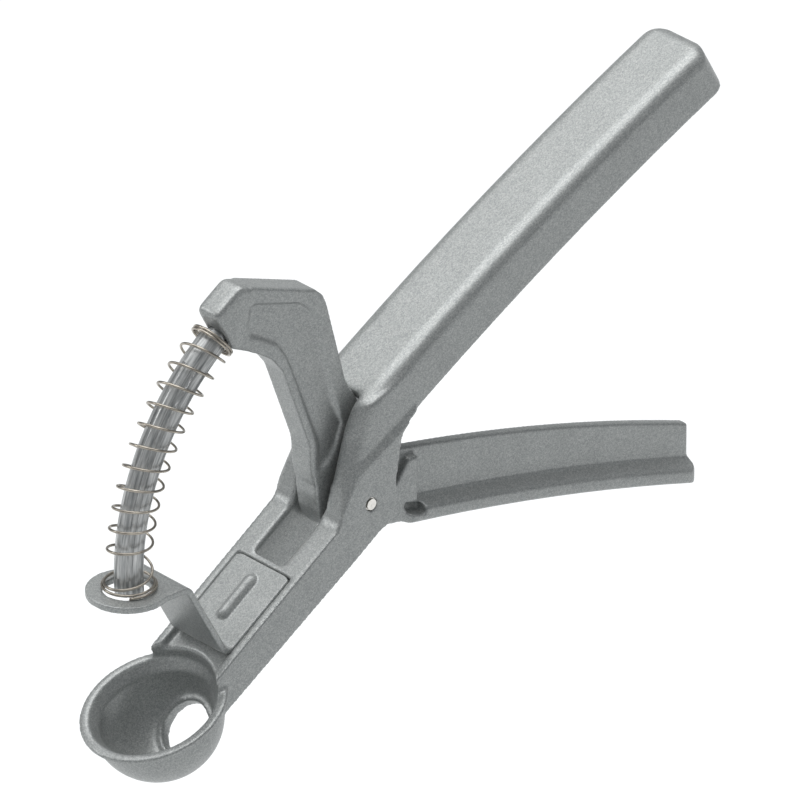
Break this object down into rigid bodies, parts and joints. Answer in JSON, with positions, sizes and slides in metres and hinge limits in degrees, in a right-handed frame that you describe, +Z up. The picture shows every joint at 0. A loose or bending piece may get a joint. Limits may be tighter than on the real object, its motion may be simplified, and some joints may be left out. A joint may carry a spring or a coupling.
{
  "type": "olive pitter",
  "caption": "Hand-held olive pitter: two cast levers on one pin, a curved fluted punch with a return spring, a bent stripper plate and a fruit cup.",
  "frame": {"origin": "Under the middle of the whole part's box, at its lowest point, with the handles open as in the picture.", "axes": "X runs from the cup towards the ends of the handles, Y is the direction of the pivot pin, Z is up with the stripper's flat plate level."},
  "size_m": [0.1696, 0.0326, 0.1244],
  "materials": {
    "coated_casting": "silver-grey metallic coating on a die casting",
    "bare_casting": "bare die casting, streaky",
    "spring_wire": "drawn spring wire, slightly warm",
    "coated_sheet": "silver-grey metallic coating on sheet",
    "pin_steel": "bright ground pin"
  },
  "bodies": {
    "frame": {"frame_casting": "coated_casting", "stripper_plate": "coated_sheet", "pivot_pin": "pin_steel", "return_spring": "spring_wire"},
    "lever": {"lever_casting": "coated_casting", "punch": "bare_casting"}
  },
  "joints": [
    {"name": "lever_pivot", "type": "hinge", "parent": "frame", "child": "lever", "pos_m": [-0.01721, 0, 0.04989], "axis": [0, -1, 0], "range_deg": [0, 43], "stiffness_Nm_per_rad": 0.35, "springref_deg": -20.05, "deforming": ["return_spring"]}
  ]
}
